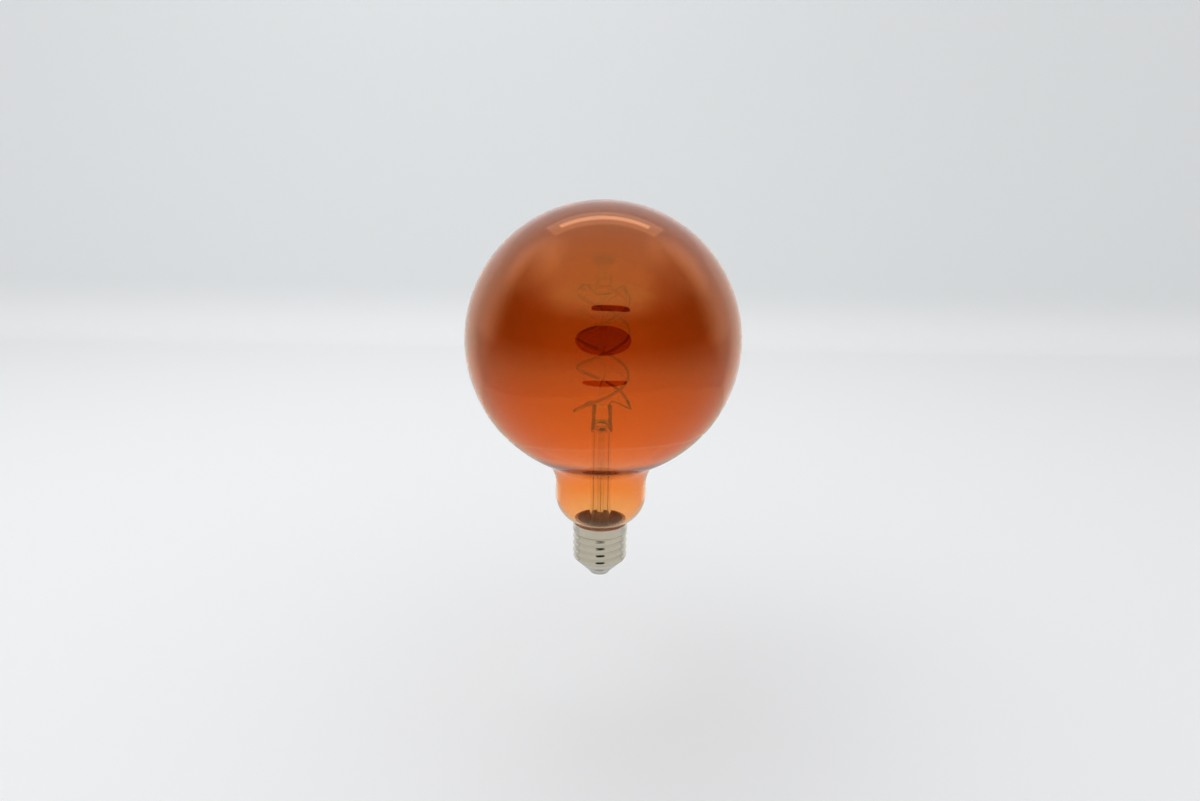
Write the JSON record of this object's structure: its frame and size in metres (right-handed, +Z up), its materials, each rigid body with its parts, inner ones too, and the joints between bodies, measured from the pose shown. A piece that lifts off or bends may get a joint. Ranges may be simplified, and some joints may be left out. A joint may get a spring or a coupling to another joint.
{
  "type": "smart light bulb",
  "caption": "Large tinted glass globe light bulb with a stepped neck, spiral filaments on a glass stem, and an in-cap driver and radio on an E27 screw cap.",
  "frame": {"origin": "centre of the lower face of the centre contact, where the cap meets the lampholder's spring contact", "axes": "+Z up the bulb's axis from the cap to the crown of the globe, +X to the right lead as seen from the front, -Y to the front"},
  "size_m": [0.125, 0.125, 0.1775],
  "materials": {
    "tinted_glass": "polished amber-brown tinted glass, denser on the globe and lighter at the neck",
    "clear_glass": "fire-polished clear glass",
    "copper": "bare copper wire",
    "white_sleeve": "woven insulating sleeve",
    "nickel_wire": "drawn nickel wire",
    "phosphor": "yellow-orange phosphor silicone",
    "nickel_plate": "satin nickel plate on stamped sheet",
    "white_plastic": "moulded white insulator",
    "cement": "rough red-brown basing cement",
    "liner_film": "brown insulating paper",
    "driver_laminate": "green solder mask on laminate",
    "capacitor_sleeve": "dark shrink sleeve",
    "ferrite": "sintered dark grey ferrite",
    "moulded_black": "matt moulding compound",
    "resistor_body": "lacquered resistor body",
    "chip_black": "glazed chip resistor",
    "chip_tan": "sintered chip capacitor",
    "live_insulation": "brown wire insulation",
    "neutral_insulation": "blue wire insulation",
    "gold_pin": "gold flash on brass",
    "radio_laminate": "dark blue solder mask on laminate",
    "tin_plate": "tin-plated sheet",
    "antenna_insulation": "thin amber wire insulation"
  },
  "bodies": {
    "root": {"glass_envelope": "tinted_glass", "stem_flare": "clear_glass", "stem_press": "clear_glass", "exhaust_tube": "clear_glass", "centre_post": "clear_glass", "lead_seals": "copper", "outer_lead_left": "copper", "outer_lead_right": "copper", "lead_sleeves": "white_sleeve", "inner_lead_left": "nickel_wire", "inner_lead_right": "nickel_wire", "filament_left": "phosphor", "filament_right": "phosphor", "filament_tabs": "nickel_wire", "top_wire": "nickel_wire", "screw_shell": "nickel_plate", "cap_insulator": "white_plastic", "centre_contact": "nickel_plate", "basing_cement": "cement", "cap_liner": "liner_film", "driver_board": "driver_laminate", "bulk_capacitor": "capacitor_sleeve", "choke_core": "ferrite", "choke_winding": "copper", "bridge_rectifier": "moulded_black", "driver_chip": "moulded_black", "fuse_resistor": "resistor_body", "chip_resistors": "chip_black", "chip_capacitors": "chip_tan", "live_wire": "live_insulation", "neutral_wire": "neutral_insulation", "header_pins": "gold_pin", "radio_board": "radio_laminate", "radio_chip": "moulded_black", "radio_shield": "tin_plate", "radio_crystal": "tin_plate", "antenna_wire": "antenna_insulation"}
  },
  "joints": []
}
